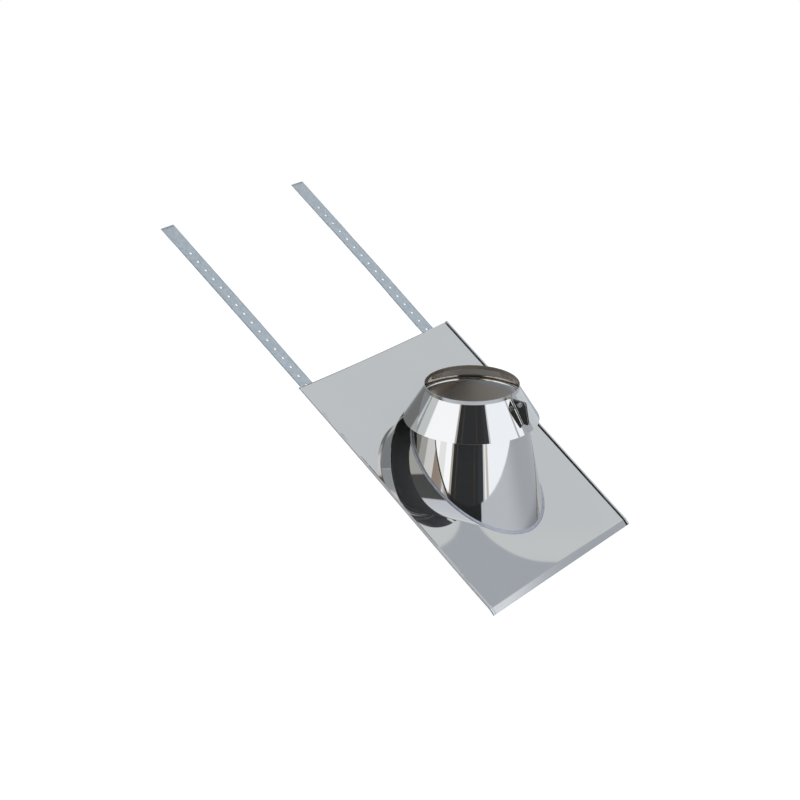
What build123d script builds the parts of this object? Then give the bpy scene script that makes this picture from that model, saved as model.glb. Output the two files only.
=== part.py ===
"""Stainless flue flashing for a pitched roof, with a storm collar and two perforated fixing straps.

Frame: +Z runs up the flue's axis, +X points down the roof's slope and +Y across the roof.
The origin is where the flue's axis crosses the underside of the base sheet.
"""
import os
from math import cos, radians, sin, tan

from build123d import *

os.makedirs("parts", exist_ok=True)

# Roof and sheet
roof_pitch = 35.0
sheet_t = 0.8

# Base sheet, measured along the slope from the flue's axis
plate_width = 500.0
plate_uphill = 310.0
plate_downhill = 283.0
hem_gap = 1.7
hem_lip = 5.0
drip_length = 14.0
drip_angle = 12.0
drip_bend_radius = 3.0

# Cone, sized at the centre of its rolled top edge
roll_radius = 3.6
roll_circle_radius = 111.0
roll_curl = 250.0
roll_flats = 6
cone_half_angle = 11.3

# Weld bead round the cone's foot
weld_leg = 3.2
weld_chamfer = 1.6

# Storm collar
collar_bore_radius = 97.5
collar_neck_height = 8.0
collar_skirt_angle = 32.3
collar_mouth_radius = 140.4
collar_sheet_clearance = 0.3
collar_cone_clearance = 0.8

# Split of the collar, which faces down the slope, and its clamping ears
split_gap = 3.0
notch_gap = 8.0
notch_height = 12.0
notch_taper = 6.0
ear_top_drop = 9.0
ear_height = 47.0
ear_top_width = 35.5
ear_foot_width = 15.8
ear_top_round = 5.0
ear_foot_round = 3.0
ear_root_round = 4.0

# Clamp screw, which runs across the ears
screw_radius = 2.5
screw_drop = 17.0
screw_stand_off = 17.4
screw_hole_clearance = 0.3
screw_tip = 3.0
hex_across_flats = 8.0
head_height = 3.5
nut_height = 4.0
thread_clearance = 0.05
washer_radius = 5.0
washer_t = 1.0
hex_edge_round = 0.5

# Perforated fixing straps
strap_width = 37.0
strap_t = 1.0
strap_length = 500.0
strap_hole_radius = 2.75
strap_hole_sides = 12
strap_hole_pitch = 25.4
strap_first_hole = 79.6
strap_end_margin = 8.0
strap_right_inset = 66.0
strap_right_overlap = 35.0
strap_right_turn = 0.0
strap_left_inset = 27.5
strap_left_overlap = 39.0
strap_left_turn = 0.9

# Margin for picking edges at a height
pick_margin = 0.1

# Planes of the roof: local x runs down the slope, local y across it, local z out of it
pitch = radians(roof_pitch)
down_slope = Vector(cos(pitch), 0, -sin(pitch))
off_roof = Vector(sin(pitch), 0, cos(pitch))
roof = Plane(origin=(0, 0, 0), x_dir=down_slope, z_dir=off_roof)
sheet_top = roof.offset(sheet_t)
across = Vector(0, 1, 0)

# Heights of the collar: its mouth just clears the sheet up the slope
skirt = radians(collar_skirt_angle)
neck_mid_radius = collar_bore_radius + sheet_t / 2
collar_foot = (sheet_t + collar_sheet_clearance + collar_mouth_radius * sin(pitch)) / cos(pitch)
neck_foot = collar_foot + (collar_mouth_radius - neck_mid_radius) / tan(skirt)
collar_top = neck_foot + collar_neck_height

# Height of the cone: its rolled edge just clears the inside of the collar's skirt
half_angle = radians(cone_half_angle)
seat = roll_radius + collar_cone_clearance + sheet_t / 2
roll_height = neck_foot - (seat / cos(skirt) + roll_circle_radius - neck_mid_radius) / tan(skirt)
wall_radius_at_roll = roll_circle_radius - (roll_radius - sheet_t / 2) * cos(half_angle)
wall_height_at_roll = roll_height - (roll_radius - sheet_t / 2) * sin(half_angle)
foot_depth = (plate_width / 2) * tan(pitch)

# Folded edges of the sheet
hem_radius = hem_gap / 2 + sheet_t
hem_height = 2 * hem_radius


def cone_wall_radius(height):
    """Radius of the middle of the cone's wall at a height."""
    return wall_radius_at_roll + (wall_height_at_roll - height) * tan(half_angle)


def skirt_radius(height):
    """Radius of the middle of the collar's skirt at a height."""
    return neck_mid_radius + (neck_foot - height) * tan(skirt)


def hemmed_section(plane):
    """Cross-section of the base sheet: a flat web with both long edges folded up and back."""
    bend = plate_width / 2 - hem_radius
    lip = bend - hem_lip
    with BuildSketch(plane) as section:
        with BuildLine():
            Line((0, 0), (bend, 0))
            ThreePointArc((bend, 0), (bend + hem_radius, hem_radius), (bend, hem_height))
            Line((bend, hem_height), (lip, hem_height))
            Line((lip, hem_height), (lip, hem_height - sheet_t))
            Line((lip, hem_height - sheet_t), (bend, hem_height - sheet_t))
            ThreePointArc(
                (bend, hem_height - sheet_t), (bend + hem_gap / 2, hem_radius), (bend, sheet_t)
            )
            Line((bend, sheet_t), (0, sheet_t))
            mirror(about=Plane.YZ)
        make_face()
    return section


def cone_shell(outer, radius_shift=0.0):
    """Solid frustum of the cone's outer or inner face, run on below the sheet."""
    shift = radius_shift + (sheet_t / 2 if outer else -sheet_t / 2) / cos(half_angle)
    with BuildPart() as frustum:
        with BuildSketch(Plane.XZ):
            Polygon(
                (0, -foot_depth),
                (cone_wall_radius(-foot_depth) + shift, -foot_depth),
                (cone_wall_radius(roll_height) + shift, roll_height),
                (0, roll_height),
                align=None,
            )
        revolve(axis=Axis.Z)
    return frustum


# Base sheet: folded section run down the slope, bent down a little for the drip edge
top_end = Plane(origin=down_slope * -plate_uphill, x_dir=across, z_dir=down_slope)
bend_end = Plane(origin=down_slope * plate_downhill, x_dir=across, z_dir=down_slope)
bend_centre = bend_end.origin - off_roof * drip_bend_radius
bend_axis = Axis(bend_centre, across)
drip_turn = radians(drip_angle)
drip_dir = down_slope * cos(drip_turn) - off_roof * sin(drip_turn)
drip_normal = down_slope * sin(drip_turn) + off_roof * cos(drip_turn)
drip_end = Plane(
    origin=bend_centre + drip_normal * drip_bend_radius, x_dir=across, z_dir=drip_dir
)
with BuildPart() as base_plate:
    extrude(hemmed_section(top_end).sketch, amount=plate_uphill + plate_downhill, dir=down_slope)
    revolve(hemmed_section(bend_end).sketch, axis=bend_axis, revolution_arc=drip_angle)
    extrude(hemmed_section(drip_end).sketch, amount=drip_length, dir=drip_dir)
    add(cone_shell(outer=False).part, mode=Mode.SUBTRACT)
base_plate.part.label = "base_plate"

# Cone: tapered wall with its top edge rolled outwards, cut off along the sheet's top face.
# The roll is bent from short flats, which keeps its facets few.
roll_middle = roll_radius - sheet_t / 2
flat_turns = [radians(180 + cone_half_angle - roll_curl * i / roll_flats) for i in range(roll_flats + 1)]
roll_points = [
    (roll_circle_radius + roll_middle * cos(turn), roll_height + roll_middle * sin(turn))
    for turn in flat_turns
]
with BuildPart() as cone:
    with BuildSketch(Plane.XZ):
        with BuildLine() as wall_line:
            Polyline((cone_wall_radius(-foot_depth), -foot_depth), *roll_points)
        trace(wall_line.line, sheet_t)
    revolve(axis=Axis.Z)
    split(bisect_by=sheet_top, keep=Keep.TOP)
cone.part.label = "cone"

# Weld bead: a ring round the cone's foot, its outer edge taken off
with BuildPart() as cone_weld:
    add(cone_shell(outer=True, radius_shift=weld_leg).part)
    split(bisect_by=sheet_top, keep=Keep.TOP)
    split(bisect_by=sheet_top.offset(weld_leg), keep=Keep.BOTTOM)
    add(cone_shell(outer=True).part, mode=Mode.SUBTRACT)
    bead_top = cone_weld.faces().filter_by(sheet_top).sort_by(Axis(roof.origin, off_roof))[-1]
    chamfer(bead_top.outer_wire().edges(), weld_chamfer)
cone_weld.part.label = "cone_weld"

# Storm collar: neck and skirt of one sheet, split down the slope, with two ears turned outwards
ear_top = collar_top - ear_top_drop
ear_foot = ear_top - ear_height
ear_foot_reach = skirt_radius(ear_foot) + ear_foot_width
ear_outline = [
    (skirt_radius(ear_top), ear_top),
    (skirt_radius(ear_top) + ear_top_width, ear_top),
    (ear_foot_reach, ear_foot),
    (skirt_radius(ear_foot), ear_foot),
]
screw_height = collar_top - screw_drop
screw_reach = skirt_radius(screw_height) + screw_stand_off
ear_outer = split_gap / 2 + sheet_t


def ear_corners(collar, height):
    """The outermost edges across both ears at a height."""
    level = (height - pick_margin, height + pick_margin)
    return collar.edges().filter_by(Axis.Y).filter_by_position(Axis.Z, *level).group_by(Axis.X)[-1]


def ear_root(collar, place):
    """The long edge where an ear's outer face, at a place along Y, meets the skirt."""
    level = (place - pick_margin, place + pick_margin)
    face = collar.faces().filter_by(Axis.Y).filter_by_position(Axis.Y, *level)[0]
    return face.edges().sort_by(SortBy.LENGTH)[-1]


with BuildPart() as storm_collar:
    with BuildSketch(Plane.XZ):
        with BuildLine() as collar_line:
            Polyline(
                (collar_mouth_radius, collar_foot),
                (neck_mid_radius, neck_foot),
                (neck_mid_radius, collar_top),
            )
        trace(collar_line.line, sheet_t)
    revolve(axis=Axis.Z)
    with BuildSketch(Plane.XZ):
        with BuildLine():
            Polyline(*ear_outline, close=True)
        make_face()
    extrude(amount=ear_outer, both=True)
    with BuildSketch(Plane.YZ):
        Polygon(
            (-split_gap / 2, collar_top + sheet_t),
            (split_gap / 2, collar_top + sheet_t),
            (split_gap / 2, collar_foot + notch_height + notch_taper),
            (notch_gap / 2, collar_foot + notch_height),
            (notch_gap / 2, collar_foot - sheet_t),
            (-notch_gap / 2, collar_foot - sheet_t),
            (-notch_gap / 2, collar_foot + notch_height),
            (-split_gap / 2, collar_foot + notch_height + notch_taper),
            align=None,
        )
    extrude(amount=ear_foot_reach + sheet_t, mode=Mode.SUBTRACT)
    fillet(ear_corners(storm_collar, ear_top), ear_top_round)
    fillet(ear_corners(storm_collar, ear_foot), ear_foot_round)
    fillet([ear_root(storm_collar, side * ear_outer) for side in (-1, 1)], ear_root_round)
    with BuildSketch(Plane.XZ):
        with Locations((screw_reach, screw_height)):
            Circle(screw_radius + screw_hole_clearance)
    extrude(amount=ear_outer + sheet_t, both=True, mode=Mode.SUBTRACT)
storm_collar.part.label = "storm_collar"

# Clamp screw, its nut and two washers, along Y through both ears
head_seat = -(ear_outer + washer_t)
nut_seat = ear_outer + washer_t
screw_end = nut_seat + nut_height + screw_tip


def across_plane(y_place):
    """Sketch plane across the screw's axis at a place along Y, facing +Y."""
    return Plane(origin=(screw_reach, y_place, screw_height), x_dir=(0, 0, 1), z_dir=(0, 1, 0))


with BuildPart() as clamp_bolt:
    with BuildSketch(across_plane(head_seat - head_height)):
        RegularPolygon(hex_across_flats / 2, 6, major_radius=False)
    extrude(amount=head_height)
    chamfer(clamp_bolt.faces().sort_by(Axis.Y)[0].edges(), hex_edge_round)
    with BuildSketch(across_plane(head_seat)):
        Circle(screw_radius)
    extrude(amount=screw_end - head_seat)
    chamfer(clamp_bolt.faces().sort_by(Axis.Y)[-1].edges(), hex_edge_round)
clamp_bolt.part.label = "clamp_bolt"

with BuildPart() as clamp_nut:
    with BuildSketch(across_plane(nut_seat)):
        RegularPolygon(hex_across_flats / 2, 6, major_radius=False)
    extrude(amount=nut_height)
    chamfer(clamp_nut.faces().sort_by(Axis.Y)[-1].edges(), hex_edge_round)
    with BuildSketch(across_plane(nut_seat)):
        Circle(screw_radius + thread_clearance)
    extrude(amount=nut_height, mode=Mode.SUBTRACT)
clamp_nut.part.label = "clamp_nut"


def washer(y_place):
    """Flat washer on the screw, from a place along Y."""
    with BuildPart() as ring:
        with BuildSketch(across_plane(y_place)):
            Circle(washer_radius)
            Circle(screw_radius + screw_hole_clearance, mode=Mode.SUBTRACT)
        extrude(amount=washer_t)
    return ring


head_washer = washer(head_seat)
head_washer.part.label = "head_washer"
nut_washer = washer(nut_seat - washer_t)
nut_washer.part.label = "nut_washer"


def fixing_strap(offset, overlap, turn):
    """Perforated strap under the sheet's top edge, running up the slope.

    The hole nearest the free end is round, and the rest have flat sides, which keeps their facets few.
    """
    holes = int((strap_length - strap_first_hole - strap_end_margin) / strap_hole_pitch) + 1
    corner = roof.from_local_coords((-plate_uphill, offset, 0))
    run = down_slope * cos(radians(turn)) + across * sin(radians(turn))
    face = Plane(origin=corner, x_dir=run, z_dir=off_roof)
    with BuildPart() as strap:
        with BuildSketch(face.offset(-strap_t)):
            with Locations((overlap - strap_length / 2, 0)):
                Rectangle(strap_length, strap_width)
            first = overlap - strap_length + strap_first_hole
            with Locations((first, 0)):
                Circle(strap_hole_radius, mode=Mode.SUBTRACT)
            with Locations([(first + i * strap_hole_pitch, 0) for i in range(1, holes)]):
                RegularPolygon(
                    strap_hole_radius, strap_hole_sides, major_radius=False, mode=Mode.SUBTRACT
                )
        extrude(amount=strap_t)
    return strap


strap_left = fixing_strap(strap_left_inset - plate_width / 2, strap_left_overlap, strap_left_turn)
strap_left.part.label = "strap_left"
strap_right = fixing_strap(plate_width / 2 - strap_right_inset, strap_right_overlap, strap_right_turn)
strap_right.part.label = "strap_right"

export_step(base_plate.part, "parts/base_plate.step")
export_step(cone.part, "parts/cone.step")
export_step(cone_weld.part, "parts/cone_weld.step")
export_step(storm_collar.part, "parts/storm_collar.step")
export_step(clamp_bolt.part, "parts/clamp_bolt.step")
export_step(clamp_nut.part, "parts/clamp_nut.step")
export_step(head_washer.part, "parts/head_washer.step")
export_step(nut_washer.part, "parts/nut_washer.step")
export_step(strap_left.part, "parts/strap_left.step")
export_step(strap_right.part, "parts/strap_right.step")
print("collar top", round(collar_top, 2), "neck foot", round(neck_foot, 2))
print("collar foot", round(collar_foot, 2))
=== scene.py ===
"""Polished stainless flue flashing with a storm collar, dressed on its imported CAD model.

Frame: +Z runs up the flue's axis, +X points down the roof's slope and +Y across the roof. Sizes in the
dataclasses are in millimetres, and meshes are in metres.
"""

import logging
import math
from dataclasses import dataclass, field
from enum import Enum

import bpy
import numpy as np
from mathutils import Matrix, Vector


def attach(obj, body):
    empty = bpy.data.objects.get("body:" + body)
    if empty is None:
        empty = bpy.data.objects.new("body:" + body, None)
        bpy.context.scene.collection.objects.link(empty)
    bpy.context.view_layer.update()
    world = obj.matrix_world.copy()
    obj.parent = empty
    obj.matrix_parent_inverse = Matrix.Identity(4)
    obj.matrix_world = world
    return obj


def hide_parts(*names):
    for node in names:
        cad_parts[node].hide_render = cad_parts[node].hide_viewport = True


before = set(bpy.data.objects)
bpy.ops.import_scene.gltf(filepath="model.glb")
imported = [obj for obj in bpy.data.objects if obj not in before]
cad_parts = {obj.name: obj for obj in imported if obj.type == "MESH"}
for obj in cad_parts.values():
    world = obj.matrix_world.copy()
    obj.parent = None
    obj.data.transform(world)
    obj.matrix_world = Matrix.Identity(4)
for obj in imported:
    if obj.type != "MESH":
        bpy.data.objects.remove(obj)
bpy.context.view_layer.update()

log = logging.getLogger("flashing")
MM = 0.001
WHITE = (1.0, 1.0, 1.0, 1.0)

Colour = tuple[float, float, float]


class Socket(str, Enum):
    """Inputs of the surface shader that the finishes set or feed."""

    COLOUR = "Base Color"
    METAL = "Metallic"
    ROUGH = "Roughness"
    NORMAL = "Normal"


# Roof


@dataclass(frozen=True)
class Roof:
    """The sloping plane on which the sheet lies.

    Attributes:
        pitch: Slope of the roof in degrees.
        sheet_t: Thickness of the steel sheet in millimetres.
    """

    pitch: float = 35.0
    sheet_t: float = 0.8

    @property
    def down(self) -> np.ndarray:
        """Unit vector down the slope."""
        angle = math.radians(self.pitch)
        return np.array([math.cos(angle), 0.0, -math.sin(angle)])

    @property
    def off(self) -> np.ndarray:
        """Unit vector out of the roof."""
        angle = math.radians(self.pitch)
        return np.array([math.sin(angle), 0.0, math.cos(angle)])

    def point(self, along: np.ndarray, across: np.ndarray, height: np.ndarray) -> np.ndarray:
        """Places points by their distances from the origin.

        Args:
            along: Distances down the slope.
            across: Distances along +Y.
            height: Distances out of the roof.

        Returns:
            Points as an array with one more axis of length three.
        """
        side = np.array([0.0, 1.0, 0.0])
        return along[..., None] * self.down + across[..., None] * side + height[..., None] * self.off


# Meshes


def mesh_piece(name: str, points: np.ndarray, quads: np.ndarray) -> bpy.types.Object:
    """Makes a smooth mesh object.

    Args:
        name: Name of the object.
        points: Places of the vertices in millimetres, of shape (n, 3).
        quads: Vertex numbers of the faces, of shape (m, 4).

    Returns:
        The object, linked to the scene.
    """
    mesh = bpy.data.meshes.new(name)
    mesh.vertices.add(len(points))
    mesh.vertices.foreach_set("co", (points * MM).astype(np.float32).ravel())
    mesh.loops.add(quads.size)
    mesh.loops.foreach_set("vertex_index", quads.ravel().astype(np.int32))
    mesh.polygons.add(len(quads))
    mesh.polygons.foreach_set("loop_start", np.arange(0, quads.size, 4, dtype=np.int32))
    mesh.update(calc_edges=True)
    mesh.shade_smooth()
    piece = bpy.data.objects.new(name, mesh)
    bpy.context.scene.collection.objects.link(piece)
    return piece


def grid_piece(name: str, points: np.ndarray, wrap_u: bool, wrap_v: bool) -> bpy.types.Object:
    """Makes a mesh object from one grid of points.

    Args:
        name: Name of the object.
        points: Grid of points in millimetres, of shape (u, v, 3).
        wrap_u: Whether the last row meets the first.
        wrap_v: Whether the last column meets the first.

    Returns:
        The object, linked to the scene.
    """
    rows, columns = points.shape[:2]
    index = np.arange(rows * columns).reshape(rows, columns)
    if wrap_u:
        index = np.vstack([index, index[:1]])
    if wrap_v:
        index = np.hstack([index, index[:, :1]])
    quads = np.stack([index[:-1, :-1], index[1:, :-1], index[1:, 1:], index[:-1, 1:]], axis=-1)
    return mesh_piece(name, points.reshape(-1, 3), quads.reshape(-1, 4))


def cells(grid: np.ndarray) -> np.ndarray:
    """Corners of a grid's cells, of shape (rows - 1, columns - 1, 4, 2)."""
    return np.stack([grid[:-1, :-1], grid[1:, :-1], grid[1:, 1:], grid[:-1, 1:]], axis=-2)


def sew(corners: np.ndarray) -> tuple[np.ndarray, np.ndarray]:
    """Joins flat cells where their corners are equal.

    Args:
        corners: Corners of the cells, of shape (m, 4, 2).

    Returns:
        The points, of shape (n, 2), and their numbers for each cell, of shape (m, 4).
    """
    points, numbers = np.unique(np.round(corners.reshape(-1, 2), 3), axis=0, return_inverse=True)
    return points, numbers.reshape(-1, 4)


def rectangle_loop(low: tuple[float, float], high: tuple[float, float], counts: tuple[int, int]) -> np.ndarray:
    """Points round a rectangle, evenly spaced along each side.

    Args:
        low: Corner where the loop starts.
        high: Opposite corner.
        counts: Cells along the first and the second direction.

    Returns:
        The points, of shape (n, 2), without a repeat of the first.
    """
    ahead = np.linspace(low[0], high[0], counts[0] + 1)
    aside = np.linspace(low[1], high[1], counts[1] + 1)
    sides = [
        np.stack([ahead[:-1], np.full(counts[0], low[1])], axis=1),
        np.stack([np.full(counts[1], high[0]), aside[:-1]], axis=1),
        np.stack([ahead[:0:-1], np.full(counts[0], high[1])], axis=1),
        np.stack([np.full(counts[1], low[0]), aside[:0:-1]], axis=1),
    ]
    return np.concatenate(sides)


def ring_cells(inner: np.ndarray, outer: np.ndarray, shares: np.ndarray) -> np.ndarray:
    """Cells between two loops, on straight lines from point to point.

    Args:
        inner: Points of the inner loop, of shape (n, 2).
        outer: Points of the outer loop, of shape (n, 2).
        shares: Rising shares of the way from the inner loop to the outer, from 0 to 1.

    Returns:
        Corners of the cells, of shape (m, 4, 2).
    """
    grid = inner + (outer - inner) * shares[:, None, None]
    return cells(np.concatenate([grid, grid[:, :1]], axis=1)).reshape(-1, 4, 2)


def thicken(piece: bpy.types.Object, thickness: float, rim: int = 0) -> None:
    """Gives an open surface its thickness, on the side away from its normals.

    Args:
        piece: The surface.
        thickness: Its thickness in millimetres.
        rim: Number of material slots from the faces to their cut edges.
    """
    solid = piece.modifiers.new("thickness", "SOLIDIFY")
    solid.thickness = thickness * MM
    solid.offset = -1.0
    solid.use_even_offset = True
    solid.material_offset_rim = rim


# Materials


class Nodes:
    """A small maker of shader node trees."""

    def __init__(self, tree: bpy.types.NodeTree) -> None:
        """Empties a tree and keeps it.

        Args:
            tree: The node tree to fill.
        """
        self.tree = tree
        tree.nodes.clear()

    def add(self, kind: str, feeds: dict | None = None, **settings: object) -> bpy.types.Node:
        """Adds a node.

        Args:
            kind: Type name of the node.
            feeds: Value or output socket for each input, by its name or number.
            **settings: Properties of the node.

        Returns:
            The node.
        """
        node = self.tree.nodes.new(kind)
        for name, value in settings.items():
            setattr(node, name, value)
        for key, value in (feeds or {}).items():
            if isinstance(value, bpy.types.NodeSocket):
                self.tree.links.new(value, node.inputs[key])
            else:
                node.inputs[key].default_value = value
        return node

    def math(self, operation: str, *values: object) -> bpy.types.NodeSocket:
        """Output of a maths node.

        Args:
            operation: Name of the operation.
            *values: Numbers or sockets, in order.

        Returns:
            The node's output.
        """
        return self.add("ShaderNodeMath", dict(enumerate(values)), operation=operation).outputs[0]

    def step(self, value: object, low: float, high: float) -> bpy.types.NodeSocket:
        """Smooth step that rises from 0 at low to 1 at high, and falls if low is the larger."""
        feeds = {"Value": value, "From Min": low, "From Max": high}
        return self.add("ShaderNodeMapRange", feeds, interpolation_type="SMOOTHSTEP").outputs[0]

    def blend(self, factor: object, first: object, second: object) -> bpy.types.NodeSocket:
        """Colour mixed from two others by a factor."""
        feeds = {0: factor, 6: first, 7: second}
        return self.add("ShaderNodeMix", feeds, data_type="RGBA").outputs[2]

    def noise(self, place: object, scale: float, detail: float) -> bpy.types.Node:
        """Noise of a scale, in waves to the metre, and with a number of finer layers."""
        return self.add("ShaderNodeTexNoise", {"Vector": place, "Scale": scale, "Detail": detail})

    def surface(self, feeds: dict) -> None:
        """Adds the surface shader with its feeds and joins it to the material's output."""
        shader = self.add("ShaderNodeBsdfPrincipled", feeds)
        self.add("ShaderNodeOutputMaterial", {0: shader.outputs[0]})


def opaque(colour: Colour) -> tuple[float, float, float, float]:
    """The colour with full alpha."""
    return (*colour, 1.0)


def start_material(name: str) -> tuple[bpy.types.Material, Nodes, bpy.types.NodeSocket]:
    """Starts a material.

    Args:
        name: Name of the material.

    Returns:
        The material, a maker of its nodes and the socket with the place on the object.
    """
    made = bpy.data.materials.new(name)
    made.use_nodes = True
    nodes = Nodes(made.node_tree)
    return made, nodes, nodes.add("ShaderNodeTexCoord").outputs["Object"]


@dataclass(frozen=True)
class PolishedSteel:
    """Mirror-polished stainless sheet.

    Attributes:
        name: Name of the material.
        colour: Reflected colour.
        haze: Roughness of the polish.
        veil: Share of light that the surface scatters.
        ripple: Height of the slow waves left by rolling, in metres.
        ripple_scale: Waves to the metre.
        line_scale: Drawn lines to the metre along each axis.
        cloud_scale: Clouds in the polish to the metre.
        least: Share of the haze that is there everywhere.
        line_share: Share of the haze that the drawn lines add.
        shade: Brightness of the darkest clouds.
    """

    name: str
    colour: Colour = (0.66, 0.635, 0.605)
    haze: float = 0.022
    veil: float = 0.02
    ripple: float = 0.0
    ripple_scale: float = 6.0
    line_scale: tuple[float, float, float] = (40.0, 900.0, 40.0)
    cloud_scale: float = 9.0
    least: float = 0.45
    line_share: float = 0.5
    shade: float = 0.965

    def vary(self, nodes: Nodes, place: object, tint: object, rough: object) -> tuple:
        """Tint, roughness and share of metal, which are the same on all sides."""
        return tint, rough, 1.0 - self.veil

    def material(self) -> bpy.types.Material:
        """Builds the material: faint drawn lines in the polish and slow waves of the sheet."""
        made, nodes, place = start_material(self.name)
        stretched = nodes.add("ShaderNodeMapping", {"Vector": place, "Scale": self.line_scale})
        lines = nodes.noise(stretched.outputs[0], 1.0, 3.0).outputs[0]
        cloud = nodes.noise(place, self.cloud_scale, 4.0).outputs[0]
        worn = nodes.math("MULTIPLY_ADD", cloud, self.haze, self.haze * self.least)
        rough = nodes.math("MULTIPLY_ADD", lines, self.haze * self.line_share, worn)
        darker = opaque(tuple(c * self.shade for c in self.colour))
        tint = nodes.blend(cloud, darker, opaque(self.colour))
        tint, rough, metal = self.vary(nodes, place, tint, rough)
        feeds = {Socket.COLOUR: tint, Socket.ROUGH: rough, Socket.METAL: metal}
        if self.ripple:
            waves = nodes.noise(place, self.ripple_scale, 0.0).outputs[0]
            bump = nodes.add("ShaderNodeBump", {"Height": waves, "Strength": 1.0, "Distance": self.ripple})
            feeds[Socket.NORMAL] = bump.outputs[0]
        nodes.surface(feeds)
        return made


@dataclass(frozen=True)
class PolishedCollar(PolishedSteel):
    """Polished stainless sheet whose inner side is dull, with a painted bluish reflection round the cone, and
    whose neck is only brushed.

    Attributes:
        upper_inside: Reflected colour of the inner side above the cone.
        painted_reflection_inside: Bluish colour of the inner side round the cone, a painted reflection of the
            light from below.
        lower: Heights between which the upper colour turns into the painted reflection, in metres.
        neck: Heights between which the neck's finish sets in, in metres.
        edge: Heights between which the upper edge's finish sets in, in metres.
        facing: Products of normal and place, in metres, between which a face counts as inner.
        inside_haze: Roughness that the inner side adds.
        neck_haze: Roughness that the neck adds.
        edge_haze: Roughness that the upper edge adds.
        dullness: Share of metal that the inner side round the cone lacks.
    """

    upper_inside: Colour = (0.56, 0.50, 0.43)
    painted_reflection_inside: Colour = (0.50, 0.56, 0.64)
    lower: tuple[float, float] = (0.143, 0.135)
    neck: tuple[float, float] = (0.1667, 0.1677)
    edge: tuple[float, float] = (0.1746, 0.1748)
    facing: tuple[float, float] = (-0.02, -0.04)
    inside_haze: float = 0.09
    neck_haze: float = 0.15
    edge_haze: float = 0.35
    dullness: float = 0.3

    def vary(self, nodes: Nodes, place: object, tint: object, rough: object) -> tuple:
        """Varies the finish by the height and by the side, with a painted bluish reflection on the inner side
        round the cone.

        Args:
            nodes: Maker of the nodes.
            place: Socket with the place on the object.
            tint: Socket with the polish's tint.
            rough: Socket with the polish's roughness.

        Returns:
            Tint, roughness and share of metal.
        """
        normal = nodes.add("ShaderNodeNewGeometry").outputs["Normal"]
        level = nodes.add("ShaderNodeVectorMath", {0: place, 1: (1.0, 1.0, 0.0)}, operation="MULTIPLY")
        faces = nodes.add("ShaderNodeVectorMath", {0: normal, 1: level.outputs[0]}, operation="DOT_PRODUCT")
        within = nodes.step(faces.outputs[1], *self.facing)
        height = nodes.add("ShaderNodeSeparateXYZ", {0: place}).outputs[2]
        lower = nodes.step(height, *self.lower)
        # inner side: the upper colour above, and a painted bluish reflection round the cone
        inner = nodes.blend(lower, opaque(self.upper_inside), opaque(self.painted_reflection_inside))
        rough = nodes.math("MULTIPLY_ADD", within, self.inside_haze, rough)
        rough = nodes.math("MULTIPLY_ADD", nodes.step(height, *self.neck), self.neck_haze, rough)
        rough = nodes.math("MULTIPLY_ADD", nodes.step(height, *self.edge), self.edge_haze, rough)
        dull = nodes.math("MULTIPLY", within, lower)
        metal = nodes.math("MULTIPLY_ADD", dull, -self.dullness, 1.0 - self.veil)
        return nodes.blend(within, tint, inner), rough, metal


@dataclass(frozen=True)
class Galvanised:
    """Zinc-coated steel with the crystal pattern of hot dipping.

    Attributes:
        name: Name of the material.
        light: Colour of the lightest crystals.
        dark: Colour of the darkest crystals.
        crystals: Crystals to the metre.
        warp: How far the crystals' edges wander, in metres, along each axis.
        grain_share: Share of fine grain in the shade.
        rough: Least roughness.
        spread: Roughness that the crystals add.
        metal: Share of metal in the sheen.
    """

    name: str = "galvanised_strap"
    light: Colour = (0.62, 0.65, 0.66)
    dark: Colour = (0.44, 0.48, 0.50)
    crystals: float = 190.0
    warp: tuple[float, float, float] = (0.004, 0.004, 0.004)
    grain_share: float = 0.35
    rough: float = 0.34
    spread: float = 0.18
    metal: float = 0.55

    def material(self) -> bpy.types.Material:
        """Builds the material: crystals of random shade over fine grain, with a dull metal sheen."""
        made, nodes, place = start_material(self.name)
        bend = nodes.noise(place, 160.0, 2.0).outputs[1]
        shift = nodes.add("ShaderNodeVectorMath", {0: bend, 1: self.warp}, operation="MULTIPLY")
        moved = nodes.add("ShaderNodeVectorMath", {0: place, 1: shift.outputs[0]}, operation="ADD")
        crystal = nodes.add("ShaderNodeTexVoronoi", {"Vector": moved.outputs[0], "Scale": self.crystals})
        shade = nodes.add("ShaderNodeSeparateColor", {0: crystal.outputs["Color"]}).outputs[0]
        grain = nodes.noise(place, 900.0, 3.0).outputs[0]
        plain = nodes.math("MULTIPLY", shade, 1.0 - self.grain_share)
        mixed = nodes.math("MULTIPLY_ADD", grain, self.grain_share, plain)
        tint = nodes.blend(mixed, opaque(self.dark), opaque(self.light))
        rough = nodes.math("MULTIPLY_ADD", shade, self.spread, self.rough)
        bump = nodes.add("ShaderNodeBump", {"Height": mixed, "Strength": 0.15, "Distance": 0.0004})
        feeds = {Socket.COLOUR: tint, Socket.ROUGH: rough, Socket.METAL: self.metal}
        nodes.surface(feeds | {Socket.NORMAL: bump.outputs[0]})
        return made


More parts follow.
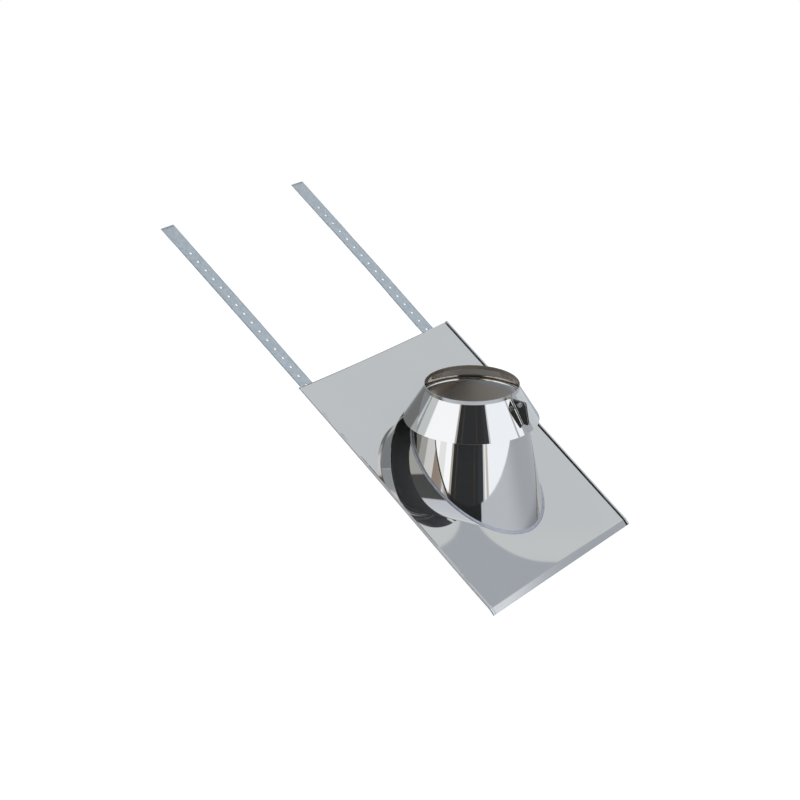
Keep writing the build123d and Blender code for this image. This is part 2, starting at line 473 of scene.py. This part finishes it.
@dataclass(frozen=True)
class DullMetal:
    """Plain metal of the weld and the fasteners, and of the near-black cut edges that paint shade.

    Attributes:
        name: Name of the material.
        light: Colour of the clean metal.
        dark: Colour of the stained metal.
        rough: Mean roughness.
        scale: Stains to the metre.
        metal: Share of metal in its sheen.
        stains: Noise between which clean metal turns into stained metal.
        pits: Pits to one stain.
        spread: Roughness that the pits add.
    """

    name: str
    light: Colour
    dark: Colour
    rough: float
    scale: float
    metal: float = 1.0
    stains: tuple[float, float] = (0.35, 0.65)
    pits: float = 9.0
    spread: float = 0.2

    def material(self) -> bpy.types.Material:
        """Builds the material: cloudy stains over fine pits."""
        made, nodes, place = start_material(self.name)
        stain = nodes.noise(place, self.scale, 5.0).outputs[0]
        pits = nodes.noise(place, self.scale * self.pits, 2.0).outputs[0]
        tint = nodes.blend(nodes.step(stain, *self.stains), opaque(self.dark), opaque(self.light))
        rough = nodes.math("MULTIPLY_ADD", pits, self.spread, self.rough)
        bump = nodes.add("ShaderNodeBump", {"Height": pits, "Strength": 0.2, "Distance": 0.0003})
        feeds = {Socket.COLOUR: tint, Socket.ROUGH: rough, Socket.METAL: self.metal}
        nodes.surface(feeds | {Socket.NORMAL: bump.outputs[0]})
        return made


def dress(piece: bpy.types.Object, finish: bpy.types.Material) -> None:
    """Gives a piece one material in every slot."""
    if not piece.material_slots:
        piece.data.materials.append(finish)
    for place in piece.material_slots:
        place.material = finish


# Studio


@dataclass(frozen=True)
class Panel:
    """A patch of the studio's surroundings.

    Angles are in degrees: around is measured from the camera's side, positive to its right, and height is
    above the horizon.

    Attributes:
        around: Where it starts and ends sideways.
        height: Where it starts and ends upwards.
        colour: Brightness for red, green and blue.
        edge: Width of its soft edge.
        slant: How far both sides lean for each degree upwards.
    """

    around: tuple[float, float]
    height: tuple[float, float]
    colour: Colour
    edge: float = 2.0
    slant: tuple[float, float] = (0.0, 0.0)


@dataclass
class Studio:
    """Camera, surroundings and floor.

    Attributes:
        azimuth: Camera's direction round the object, in degrees.
        elevation: Camera's height above the horizon, in degrees.
        place: Camera's place.
        lens: Focal length for a 36 mm sensor.
        floor_z: Height of the floor.
        floor_reach: Radius of the floor.
        floor_cells: Rings and spokes of the floor.
        floor_grey: Colour of the floor in reflections.
        cloth_start: Distance from the axis to the dark cloth that lies towards the camera.
        cloth_soft: Width of the cloth's near edge.
        cloth_sector: Where the cloth starts and ends sideways, in degrees.
        cloth_grey: Colour of the cloth in reflections.
        sheen_reach: Distances in metres between which the floor's sheen sets in.
        sheen_turn: Degrees sideways between which the dim sheen turns into the bright one.
        dim_sheen: Brightness that the floor adds at the right.
        bright_sheen: Brightness that it adds elsewhere.
        paper: Grey of the paper that the camera sees.
        paper_glow: Brightness that turns it white.
        backdrop: Brightness of what no panel covers.
        panels: The panels, each laid over those before it.
    """

    azimuth: float = 38.48
    elevation: float = 22.98
    place: tuple[float, float, float] = (1918.96, -2651.39, 1523.17)
    lens: float = 77.62
    floor_z: float = -176.0
    floor_reach: float = 2200.0
    floor_cells: tuple[int, int] = (12, 96)
    floor_grey: Colour = (0.52, 0.53, 0.55)
    cloth_start: float = 1150.0
    cloth_soft: float = 60.0
    cloth_sector: tuple[float, float] = (-39.0, 16.0)
    cloth_grey: Colour = (0.03, 0.03, 0.03)
    sheen_reach: tuple[float, float] = (0.4, 0.6)
    sheen_turn: tuple[float, float] = (90.0, 50.0)
    dim_sheen: Colour = (0.18, 0.19, 0.21)
    bright_sheen: Colour = (0.36, 0.38, 0.42)
    paper: Colour = (0.35, 0.35, 0.35)
    paper_glow: float = 0.9
    backdrop: Colour = (0.76, 0.83, 0.90)
    panels: list[Panel] = field(
        default_factory=lambda: [
            # dim room behind, at the far left and overhead
            Panel((-190.0, -70.0), (-60.0, 100.0), (0.31, 0.34, 0.37), 8.0),
            Panel((98.0, 200.0), (55.0, 100.0), (0.34, 0.39, 0.44), 4.0),
            Panel((-200.0, 120.0), (69.0, 100.0), (0.36, 0.37, 0.38), 6.0),
            # pale strip beside the grey wall, and the wall with its lighter parts
            Panel((110.0, 121.9), (-100.0, 75.0), (0.80, 0.86, 0.90), 1.2),
            Panel((60.0, 120.7), (-100.0, 75.0), (0.51, 0.57, 0.65), 0.06),
            Panel((60.0, 119.2), (27.0, 60.0), (0.62, 0.66, 0.71), 1.8),
            Panel((78.0, 106.5), (26.5, 62.0), (1.10, 1.20, 1.34), 4.0),
            # light box at the left of the camera, with what stands before it
            Panel((-116.0, -24.0), (10.0, 72.0), (0.78, 0.84, 0.88), 4.0),
            Panel((-89.0, -24.0), (14.0, 54.0), (1.40, 1.48, 1.58), 3.0, (0.0, 0.18)),
            Panel((-80.0, -62.0), (-60.0, 14.0), (1.40, 1.48, 1.58), 3.0),
            Panel((-62.0, -49.0), (-60.0, 14.0), (1.16, 1.21, 1.24), 2.0),
            Panel((-51.0, -38.0), (13.0, 34.0), (0.58, 0.50, 0.44), 2.0),
            Panel((-49.5, -37.6), (-60.0, 13.0), (1.42, 1.50, 1.60), 1.0),
            Panel((-37.6, -33.4), (-60.0, 66.0), (0.60, 0.56, 0.51), 0.8, (0.12, 0.12)),
            # light box at the right of the camera
            Panel((15.0, 84.0), (-60.0, 62.0), (1.30, 1.40, 1.53), 3.0),
            Panel((15.0, 84.0), (46.0, 62.0), (1.12, 1.25, 1.46), 4.0),
            Panel((80.0, 97.0), (10.0, 46.0), (1.30, 1.40, 1.53), 2.0),
            Panel((84.5, 88.0), (10.0, 46.0), (0.62, 0.66, 0.72), 1.2),
            Panel((19.0, 23.5), (-60.0, 62.0), (0.80, 0.84, 0.90), 1.0, (0.28, 0.28)),
            Panel((24.5, 28.5), (-60.0, 20.0), (0.78, 0.74, 0.69), 1.0),
            # dark gap with the camera in it, and the edges of what stands there
            Panel((-34.2, 20.5), (-100.0, 68.0), (0.030, 0.033, 0.036), 1.0, (0.12, 0.28)),
            Panel((-34.2, 20.5), (50.0, 68.0), (0.11, 0.12, 0.13), 3.0, (0.12, 0.28)),
            Panel((11.5, 20.0), (-100.0, 50.0), (0.044, 0.050, 0.058), 1.5, (0.28, 0.28)),
            Panel((-28.0, -26.0), (-40.0, 50.0), (0.070, 0.064, 0.058), 1.0, (0.18, 0.18)),
            Panel((3.0, 6.0), (-40.0, 50.0), (0.052, 0.045, 0.042), 2.0, (0.1, 0.1)),
        ]
    )

    def build_camera(self) -> None:
        """Puts the camera where the photograph was taken from."""
        around, above = math.radians(self.azimuth), math.radians(self.elevation)
        look = Vector(
            (-math.sin(around) * math.cos(above), math.cos(around) * math.cos(above), -math.sin(above))
        )
        data = bpy.data.cameras.new("camera")
        data.lens, data.sensor_width = self.lens, 36.0
        data.clip_start, data.clip_end = 0.05, 60.0
        camera = bpy.data.objects.new("camera", data)
        camera.location = Vector(self.place) * MM
        camera.rotation_mode = "QUATERNION"
        camera.rotation_quaternion = look.to_track_quat("-Z", "Y")
        bpy.context.scene.collection.objects.link(camera)
        bpy.context.scene.camera = camera

    def build_world(self) -> None:
        """Surroundings by direction: each panel is a product of four soft steps in its two angles."""
        world = bpy.data.worlds.new("studio")
        bpy.context.scene.world = world
        world.use_nodes = True
        nodes = Nodes(world.node_tree)
        turn, rise = self.turn_and_rise(nodes, nodes.add("ShaderNodeTexCoord").outputs["Generated"])
        colour = opaque(self.backdrop)
        for panel in self.panels:
            half = panel.edge / 2
            sides = [nodes.math("MULTIPLY_ADD", rise, -lean, turn) if lean else turn for lean in panel.slant]
            parts = [
                nodes.step(sides[0], panel.around[0] - half, panel.around[0] + half),
                nodes.step(sides[1], panel.around[1] + half, panel.around[1] - half),
                nodes.step(rise, panel.height[0] - half, panel.height[0] + half),
                nodes.step(rise, panel.height[1] + half, panel.height[1] - half),
            ]
            both = nodes.math("MULTIPLY", parts[0], parts[1])
            mask = nodes.math("MULTIPLY", both, nodes.math("MULTIPLY", parts[2], parts[3]))
            colour = nodes.blend(mask, colour, opaque(panel.colour))
        seen = nodes.add("ShaderNodeLightPath").outputs["Is Camera Ray"]
        shown = nodes.blend(seen, colour, WHITE)
        background = nodes.add("ShaderNodeBackground", {0: shown, 1: 1.0})
        nodes.add("ShaderNodeOutputWorld", {0: background.outputs[0]})

    def turn_and_rise(self, nodes: Nodes, direction: bpy.types.NodeSocket) -> tuple:
        """Angles of a direction round from the camera's side and above the horizon, in degrees.

        Args:
            nodes: Maker of the node tree.
            direction: Socket of the direction.

        Returns:
            Sockets of both angles.
        """
        around = math.radians(self.azimuth)
        right = (math.cos(around), math.sin(around), 0.0)
        near = (math.sin(around), -math.cos(around), 0.0)
        unit = nodes.add("ShaderNodeVectorMath", {0: direction}, operation="NORMALIZE").outputs[0]
        side = nodes.add("ShaderNodeVectorMath", {0: unit, 1: right}, operation="DOT_PRODUCT").outputs[1]
        front = nodes.add("ShaderNodeVectorMath", {0: unit, 1: near}, operation="DOT_PRODUCT").outputs[1]
        upward = nodes.add("ShaderNodeSeparateXYZ", {0: unit}).outputs[2]
        turn = nodes.math("DEGREES", nodes.math("ARCTAN2", side, front))
        return turn, nodes.math("DEGREES", nodes.math("ARCSINE", upward))

    def build_floor(self) -> None:
        """A round floor whose radius grows evenly from the centre: white to the camera, grey in reflections."""
        rings, spokes = self.floor_cells
        radius, angle = np.meshgrid(
            np.linspace(1.0, self.floor_reach, rings), np.linspace(0, 2 * np.pi, spokes + 1)[:-1], indexing="ij"
        )
        level = np.full_like(angle, self.floor_z)
        points = np.stack([radius * np.cos(angle), radius * np.sin(angle), level], axis=-1)
        floor = grid_piece("floor", points, wrap_u=False, wrap_v=True)
        made, nodes, place = start_material("floor_paper")
        turn, _ = self.turn_and_rise(nodes, place)
        reach = nodes.add("ShaderNodeVectorMath", {0: place}, operation="LENGTH").outputs[1]
        far = nodes.step(reach, self.cloth_start * MM, (self.cloth_start + self.cloth_soft) * MM)
        left, right = self.cloth_sector
        sector = nodes.math("MULTIPLY", nodes.step(turn, left, left + 2.0), nodes.step(turn, right, right - 2.0))
        cloth = nodes.math("MULTIPLY", far, sector)
        shade = nodes.blend(cloth, opaque(self.floor_grey), opaque(self.cloth_grey))
        lit = nodes.blend(nodes.step(turn, *self.sheen_turn), opaque(self.dim_sheen), opaque(self.bright_sheen))
        bare = nodes.math("SUBTRACT", 1.0, cloth)
        away = nodes.math("MULTIPLY", nodes.step(reach, *self.sheen_reach), bare)
        sheen = nodes.add("ShaderNodeEmission", {0: lit, 1: away})
        matt = nodes.add("ShaderNodeBsdfDiffuse", {0: shade})
        grey = nodes.add("ShaderNodeAddShader", {0: matt.outputs[0], 1: sheen.outputs[0]})
        paper = nodes.add("ShaderNodeBsdfDiffuse", {0: opaque(self.paper)})
        glow = nodes.add("ShaderNodeEmission", {0: WHITE, 1: self.paper_glow})
        white = nodes.add("ShaderNodeAddShader", {0: paper.outputs[0], 1: glow.outputs[0]})
        seen = nodes.add("ShaderNodeLightPath").outputs["Is Camera Ray"]
        shader = nodes.add("ShaderNodeMixShader", {0: seen, 1: grey.outputs[0], 2: white.outputs[0]})
        nodes.add("ShaderNodeOutputMaterial", {0: shader.outputs[0]})
        dress(floor, made)

    def build(self) -> None:
        """Makes the camera, the surroundings and the floor."""
        bpy.context.scene.view_settings.view_transform = "Standard"
        self.build_camera()
        self.build_world()
        self.build_floor()
        log.info("studio with %d panels", len(self.panels))


# Pieces


@dataclass
class FlueCone:
    """Tapered tube with a rolled top edge.

    Attributes:
        roof: The sloping plane at its foot.
        roll_radius: Outer radius of the rolled edge.
        roll_circle_radius: Distance of the roll's centre from the axis.
        roll_height: Height of the roll's centre.
        roll_curl: How far the edge is rolled, in degrees.
        half_angle: Taper of the wall, in degrees.
        around: Number of faces round the axis.
        roll_points: Number of points round the roll.
        wall_faces: Number of faces up the wall.
        crease: Angle between faces from which an edge looks sharp, in degrees.
    """

    roof: Roof
    roll_radius: float = 3.6
    roll_circle_radius: float = 111.0
    roll_height: float = 137.19
    roll_curl: float = 250.0
    half_angle: float = 11.3
    around: int = 256
    roll_points: int = 22
    wall_faces: int = 13
    crease: float = 50.0

    @property
    def taper(self) -> float:
        """Growth of the radius for each millimetre down."""
        return math.tan(math.radians(self.half_angle))

    @property
    def roll_mid(self) -> float:
        """Radius of the middle of the rolled sheet."""
        return self.roll_radius - self.roof.sheet_t / 2

    @property
    def top(self) -> tuple[float, float]:
        """Radius and height where the wall's middle runs into the roll."""
        lean = math.radians(self.half_angle)
        return (
            self.roll_circle_radius - self.roll_mid * math.cos(lean),
            self.roll_height - self.roll_mid * math.sin(lean),
        )

    def foot(self, angle: np.ndarray, shift: float, lift: float = 0.0) -> np.ndarray:
        """Points where the wall meets a plane along the roof.

        The radius is r = a - k z, with k the taper, and the plane is x sin p + z cos p = h, so
        z = (h - a cos f sin p) / (cos p - k cos f sin p) at the angle f.

        Args:
            angle: Angles round the axis.
            shift: Distance of the surface from the wall's middle.
            lift: Height of the plane above the sheet's top face.

        Returns:
            Points of shape (..., 3).
        """
        pitch, lean = math.radians(self.roof.pitch), math.radians(self.half_angle)
        reach = self.top[0] + self.top[1] * self.taper + shift / math.cos(lean)
        slope = np.cos(angle) * math.sin(pitch)
        height = (self.roof.sheet_t + lift - reach * slope) / (math.cos(pitch) - self.taper * slope)
        radius = reach - self.taper * height
        return np.stack([radius * np.cos(angle), radius * np.sin(angle), height], axis=-1)

    def build(self, finish: bpy.types.Material, inside: bpy.types.Material) -> None:
        """Builds the tube: a section of wall and roll, offset both ways, carried round the axis.

        Args:
            finish: Material of the tube.
            inside: Material of its inner wall.
        """
        angle = np.linspace(0, 2 * np.pi, self.around + 1)[:-1]
        half = self.roof.sheet_t / 2
        lean = math.radians(self.half_angle)
        curl = math.pi + lean - np.radians(np.linspace(0.0, self.roll_curl, self.roll_points))
        along = np.linspace(0.0, 1.0, self.wall_faces + 1)[:-1][None, :, None]
        skins = []
        for shift in (half, -half):
            radius = self.roll_circle_radius + (self.roll_mid - shift) * np.cos(curl)
            height = self.roll_height + (self.roll_mid - shift) * np.sin(curl)
            height = np.broadcast_to(height, (self.around, self.roll_points))
            round_x = radius * np.cos(angle)[:, None]
            round_y = radius * np.sin(angle)[:, None]
            roll = np.stack([round_x, round_y, height], axis=-1)
            wall = self.foot(angle, shift)[:, None, :] * (1 - along) + roll[:, :1, :] * along
            skins.append(np.concatenate([wall, roll], axis=1))
        points = np.concatenate([skins[0], skins[1][:, ::-1]], axis=1)
        piece = grid_piece("flue_cone", points, wrap_u=True, wrap_v=True)
        piece.data.set_sharp_from_angle(angle=math.radians(self.crease))
        dress(piece, finish)
        piece.data.materials.append(inside)
        column = np.tile(np.arange(points.shape[1]), len(angle))
        inner = (column >= points.shape[1] - along.size).astype(np.int32)
        piece.data.polygons.foreach_set("material_index", inner)
        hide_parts("cone")
        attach(piece, "root")
        log.info("flue cone: %d faces", len(piece.data.polygons))


@dataclass
class WeldBead:
    """Bead that joins the cone to the sheet.

    Attributes:
        cone: The cone whose foot it follows.
        leg: Its reach up the wall and over the sheet.
        ripples: Ripples round the whole foot.
        ripple: Height of a ripple as a share of the leg.
        sway: How far the ripples stray from even spacing, in radians, and how often round the foot.
        fullness: Power that rounds the section: 1 for a quarter circle, less for a fuller one.
        around: Number of faces round the foot.
        arc_points: Number of points on the section's arc.
        crease: Angle between faces from which an edge looks sharp, in degrees.
    """

    cone: FlueCone
    leg: float = 4.0
    ripples: int = 260
    ripple: float = 0.05
    sway: tuple[float, int] = (0.6, 7)
    fullness: float = 0.8
    around: int = 1040
    arc_points: int = 9
    crease: float = 60.0

    def build(self, finish: bpy.types.Material) -> None:
        """Builds the bead: a rounded section carried round the foot, swelling with each ripple.

        The section at angle f is the foot's point plus leg (1 + a sin(n f + b sin m f)) times
        (cos^q v outwards + sin^q v up the wall), for v from 0 to a quarter turn, closed through the foot.

        Args:
            finish: Material of the bead.
        """
        angle = np.linspace(0, 2 * np.pi, self.around + 1)[:-1]
        half = self.cone.roof.sheet_t / 2
        foot = self.cone.foot(angle, half)
        ahead = np.roll(foot, -1, axis=0) - np.roll(foot, 1, axis=0)
        ahead /= np.linalg.norm(ahead, axis=1, keepdims=True)
        outward = np.cross(ahead, self.cone.roof.off)
        climb = self.cone.foot(angle, half, lift=1.0) - foot
        climb /= np.linalg.norm(climb, axis=1, keepdims=True)
        stray = self.sway[0] * np.sin(self.sway[1] * angle)
        swell = self.leg * (1 + self.ripple * np.sin(self.ripples * angle + stray))
        turn = np.linspace(0, np.pi / 2, self.arc_points)
        flat = np.cos(turn)[None, :, None] ** self.fullness * outward[:, None, :]
        rise = np.sin(turn)[None, :, None] ** self.fullness * climb[:, None, :]
        arc = foot[:, None, :] + swell[:, None, None] * (flat + rise)
        points = np.concatenate([arc, foot[:, None, :]], axis=1)
        piece = grid_piece("weld_bead_ring", points, wrap_u=True, wrap_v=True)
        piece.data.set_sharp_from_angle(angle=math.radians(self.crease))
        dress(piece, finish)
        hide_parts("cone_weld")
        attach(piece, "root")
        log.info("weld bead: %d faces", len(piece.data.polygons))


@dataclass(frozen=True)
class Bow:
    """A bow that the weld's heat has drawn in the sheet.

    Attributes:
        depth: Its depth far from the weld.
        reach: Distance over which it deepens.
        toward: Its direction round the axis, in degrees.
        focus: How narrow it is: the power of its spread.
    """

    depth: float
    reach: float
    toward: float
    focus: float = 12.0


@dataclass
class BaseSheet:
    """Folded base sheet with an oval hole, hemmed long edges and a drip edge.

    Distances down the slope and across it are measured on the unfolded sheet, from the flue's axis.

    Attributes:
        cone: The cone that stands on it.
        half_width: Half its width.
        uphill: Distance to its upper edge.
        downhill: Distance to the bend of the drip edge.
        hem_radius: Outer radius of the hems.
        hem_lip: Flat width of the hems' lips.
        drip_radius: Radius of the drip edge's bend.
        drip_angle: Turn of the drip edge, in degrees.
        drip_length: Flat length of the drip edge, a hair short of the CAD sheet's.
        top_dip: Sag of the upper edge's middle.
        side_dip: Sag of the left edge's middle beside the bows, negative for a rise.
        bows: Bows beside the weld.
        strap_fade: Length over which the straps straighten above the sheet.
        faces: Number of faces down the sheet and across it, between the hems.
        web_rings: Number of rings of points between the hole and the border.
        web_ease: Power that gathers these rings at the hole.
    """

    cone: FlueCone
    half_width: float = 250.0
    uphill: float = 310.0
    downhill: float = 283.0
    hem_radius: float = 1.65
    hem_lip: float = 5.0
    drip_radius: float = 3.0
    drip_angle: float = 12.0
    drip_length: float = 13.93
    top_dip: float = 7.0
    side_dip: float = -1.0
    bows: tuple[Bow, ...] = (Bow(3.58, 160.0, -68.6),)
    strap_fade: float = 220.0
    faces: tuple[int, int] = (66, 56)
    web_rings: int = 56
    web_ease: float = 1.4

    @property
    def bend(self) -> float:
        """Distance from the middle to the start of the hems."""
        return self.half_width - self.hem_radius

    @property
    def drip_turn(self) -> float:
        """Length of the drip edge's bend on the flat sheet."""
        return self.drip_radius * math.radians(self.drip_angle)

    def hole(self, angle: np.ndarray) -> np.ndarray:
        """Places of the oval hole's edge on the sheet, at angles round the axis."""
        half = self.cone.roof.sheet_t / 2
        edge = self.cone.foot(angle, -half, lift=-half)
        return np.stack([edge @ self.cone.roof.down, edge[..., 1]], axis=-1)

    def sag(self, down: np.ndarray, side: np.ndarray) -> np.ndarray:
        """Height of the bowed sheet over the flat one.

        The upper edge's sag grows with the cube of the way up and is parabolic across. The left edge's grows
        with the square of the way left and is parabolic along. A bow is -h s (1 - exp(-d / r)) at the
        distance d from the foot, where s = ((1 + cos(f - g)) / 2)^n at the angle f, and it fades to
        nothing at the drip edge.

        Args:
            down: Distances down the slope.
            side: Distances across it.

        Returns:
            Heights.
        """
        roof = self.cone.roof
        upward = np.clip(-down / self.uphill, 0.0, 1.0)
        dip = self.top_dip * upward**3 * np.clip(1 - (side / self.half_width) ** 2, 0.0, 1.0)
        fade = 1 - np.clip(down / (self.downhill + self.drip_length), 0.0, 1.0) ** 6
        left = np.clip(-side / self.half_width, 0.0, 1.0)
        dip += self.side_dip * left**2 * np.clip(1 - (down / self.uphill) ** 2, 0.0, 1.0)
        angle = np.arctan2(side, down * math.cos(math.radians(roof.pitch)))
        reach = np.hypot(down, side) - np.linalg.norm(self.hole(angle), axis=-1)
        for bow in self.bows:
            spread = ((1 + np.cos(angle - math.radians(bow.toward))) / 2) ** bow.focus
            dip += bow.depth * spread * fade * (1 - np.exp(-np.clip(reach, 0.0, None) / bow.reach))
        beyond = np.clip((-self.uphill - down) / self.strap_fade, 0.0, 1.0)
        return -dip * (1 - beyond) ** 2 * (1 + 2 * beyond)

    def fold(self, flat: np.ndarray) -> np.ndarray:
        """Folds the outer skin of the flat sheet into hems and drip edge, and bows it.

        Args:
            flat: Points on the flat sheet, of shape (n, 2).

        Returns:
            Points in space, of shape (n, 3).
        """
        down, side = flat[:, 0], flat[:, 1]
        over = np.clip(np.abs(side) - self.bend, 0.0, None)
        turn = np.clip(over / self.hem_radius, 0.0, np.pi)
        lip = np.clip(over - np.pi * self.hem_radius, 0.0, None)
        across = np.clip(np.abs(side), None, self.bend) + self.hem_radius * np.sin(turn) - lip
        height = self.hem_radius * (1 - np.cos(turn))
        drip = np.clip((down - self.downhill) / self.drip_radius, 0.0, math.radians(self.drip_angle))
        tail = np.clip(down - self.downhill - self.drip_turn, 0.0, None)
        arm = self.drip_radius + height
        along = np.clip(down, None, self.downhill) + arm * np.sin(drip) + tail * np.cos(drip)
        rise = arm * np.cos(drip) - self.drip_radius - tail * np.sin(drip)
        across = np.sign(side) * across
        return self.cone.roof.point(along, across, rise + self.sag(along, across))

    def build(self, finish: bpy.types.Material, edge: bpy.types.Material) -> None:
        """Builds the sheet: a ring of cells round the hole, and a border of cells for hems and drip edge.

        Args:
            finish: Material of the sheet.
            edge: Material of its cut edges, painted near black as shade along the hems and rims.
        """
        low, high = (-self.uphill, -self.bend), (self.downhill, self.bend)
        loop = rectangle_loop(low, high, self.faces)
        angle = np.arctan2(loop[:, 1], loop[:, 0] * math.cos(math.radians(self.cone.roof.pitch)))
        web = ring_cells(self.hole(angle), loop, np.linspace(0.0, 1.0, self.web_rings) ** self.web_ease)
        hem_turn = np.pi * self.hem_radius
        hem_lip = hem_turn + self.hem_lip * np.array([0.5, 1.0])
        hem = self.bend + np.concatenate([np.linspace(0.0, hem_turn, 13)[1:], hem_lip])
        drip_lip = self.drip_turn + self.drip_length * np.array([0.03, 0.5, 0.97, 1.0])
        drip = self.downhill + np.concatenate([np.linspace(0.0, self.drip_turn, 4)[1:], drip_lip])
        rows = np.concatenate([np.linspace(low[0], high[0], self.faces[0] + 1), drip])
        middle = np.linspace(low[1], high[1], self.faces[1] + 1)
        columns = np.concatenate([-hem[::-1], middle, hem])
        border = cells(np.stack(np.meshgrid(rows, columns, indexing="ij"), axis=-1))
        outside = np.ones(border.shape[:2], dtype=bool)
        outside[: self.faces[0], len(hem) : len(hem) + self.faces[1]] = False
        flat, quads = sew(np.concatenate([web, border[outside]]))
        piece = mesh_piece("folded_sheet", self.fold(flat), quads[:, ::-1])
        thicken(piece, self.cone.roof.sheet_t, rim=1)
        dress(piece, finish)
        piece.data.materials.append(edge)
        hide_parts("base_plate")
        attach(piece, "root")
        log.info("base sheet: %d faces", len(piece.data.polygons))


@dataclass
class FixingStrap:
    """Perforated strap that holds the sheet from above.

    Attributes:
        node: Name of its CAD node.
        sheet: The sheet to which it is fixed.
        offset: Place of its middle line across the sheet's upper edge.
        overlap: Length under the sheet.
        turn: Turn of the strap in the roof's plane, in degrees.
        length: Its length.
        width: Its width.
        thickness: Its thickness.
        hole_radius: Radius of its holes.
        pitch: Distance between its holes.
        first: Distance from its free end to the first hole.
        holes: Number of holes.
        faces: Number of faces along and across one hole's patch.
        hole_rings: Number of rings of points round a hole.
        hole_ease: Power that gathers these rings at the hole.
        end_points: Number of points along the free end and along the other.
    """

    node: str
    sheet: BaseSheet
    offset: float
    overlap: float
    turn: float
    length: float = 500.0
    width: float = 37.0
    thickness: float = 1.0
    hole_radius: float = 2.75
    pitch: float = 25.4
    first: float = 79.6
    holes: int = 17
    faces: tuple[int, int] = (8, 12)
    hole_rings: int = 5
    hole_ease: float = 1.3
    end_points: tuple[int, int] = (9, 3)

    def lay(self, flat: np.ndarray) -> np.ndarray:
        """Lays the strap's underside along the roof, sunk with the sheet's upper edge.

        Args:
            flat: Distances along the strap from its free end and across it, of shape (n, 2).

        Returns:
            Points in space, of shape (n, 3).
        """
        turn = math.radians(self.turn)
        run = flat[:, 0] + self.overlap - self.length
        down = run * math.cos(turn) - flat[:, 1] * math.sin(turn) - self.sheet.uphill
        side = run * math.sin(turn) + flat[:, 1] * math.cos(turn) + self.offset
        return self.sheet.cone.roof.point(down, side, self.sheet.sag(down, side) - self.thickness)

    def build(self, finish: bpy.types.Material) -> None:
        """Builds the strap: a ring of cells round each hole, and plain cells at both ends.

        Args:
            finish: Material of the strap.
        """
        half = (self.pitch / 2, self.width / 2)
        loop = rectangle_loop((-half[0], -half[1]), half, self.faces)
        angle = np.arctan2(loop[:, 1], loop[:, 0])
        circle = self.hole_radius * np.stack([np.cos(angle), np.sin(angle)], axis=1)
        patch = ring_cells(circle, loop, np.linspace(0.0, 1.0, self.hole_rings) ** self.hole_ease)
        middles = np.zeros((self.holes, 1, 1, 2))
        middles[:, 0, 0, 0] = self.first + self.pitch * np.arange(self.holes)
        sides = np.linspace(-half[1], half[1], self.faces[1] + 1)
        low = self.first - half[0]
        high = low + self.pitch * self.holes
        spans = ((0.0, low, self.end_points[0]), (high, self.length, self.end_points[1]))
        grids = [np.meshgrid(np.linspace(*span), sides, indexing="ij") for span in spans]
        ends = [cells(np.stack(grid, axis=-1)).reshape(-1, 4, 2) for grid in grids]
        flat, quads = sew(np.concatenate([(patch + middles).reshape(-1, 4, 2), *ends]))
        piece = mesh_piece(f"{self.node}_holed", self.lay(flat), quads[:, ::-1])
        thicken(piece, self.thickness)
        dress(piece, finish)
        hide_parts(self.node)
        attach(piece, "root")
        log.info("%s: %d faces", self.node, len(piece.data.polygons))


@dataclass
class CarriedNodes:
    """CAD nodes that keep their shape and get a finish.

    Attributes:
        names: Names of the nodes.
        title: What they are, for the report.
    """

    names: tuple[str, ...]
    title: str

    def build(self, finish: bpy.types.Material) -> None:
        """Dresses the nodes.

        Args:
            finish: Material of the nodes.
        """
        for name in self.names:
            dress(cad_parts[name], finish)
        log.info("%s: %d nodes", self.title, len(self.names))


def main() -> None:
    """Builds the studio and every piece in order."""
    logging.basicConfig(level=logging.INFO, format="%(message)s")
    Studio().build()
    roof = Roof()
    mirror = PolishedSteel("polished_sheet", haze=0.014, veil=0.055, ripple=0.0001, ripple_scale=5.0)
    wall = PolishedSteel("polished_cone")
    inside = PolishedSteel("cone_inside", colour=(0.72, 0.63, 0.53), haze=0.12, veil=0.06)
    hood = PolishedCollar("polished_collar")
    # the sheet's cut edges are painted near black, a painted shade for the hems' gaps and the sheet's rims
    shaded_edge = DullMetal("cut_edge_painted_shade", (0.10, 0.10, 0.10), (0.05, 0.05, 0.05), 0.35, 400.0)
    bead = DullMetal("weld_bead", (0.47, 0.48, 0.52), (0.39, 0.40, 0.44), 0.38, 120.0, metal=0.8)
    zinc = DullMetal("zinc_fasteners", (0.62, 0.62, 0.62), (0.42, 0.42, 0.43), 0.22, 300.0)
    cone = FlueCone(roof)
    sheet = BaseSheet(cone)
    sheet.build(mirror.material(), shaded_edge.material())
    cone.build(wall.material(), inside.material())
    WeldBead(cone).build(bead.material())
    CarriedNodes(("storm_collar",), "storm collar").build(hood.material())
    fasteners = ("clamp_bolt", "clamp_nut", "head_washer", "nut_washer")
    CarriedNodes(fasteners, "clamp screw").build(zinc.material())
    spangled = Galvanised().material()
    FixingStrap("strap_left", sheet, offset=-222.5, overlap=39.0, turn=0.9).build(spangled)
    FixingStrap("strap_right", sheet, offset=184.0, overlap=35.0, turn=0.0).build(spangled)


if __name__ == "__main__":
    main()
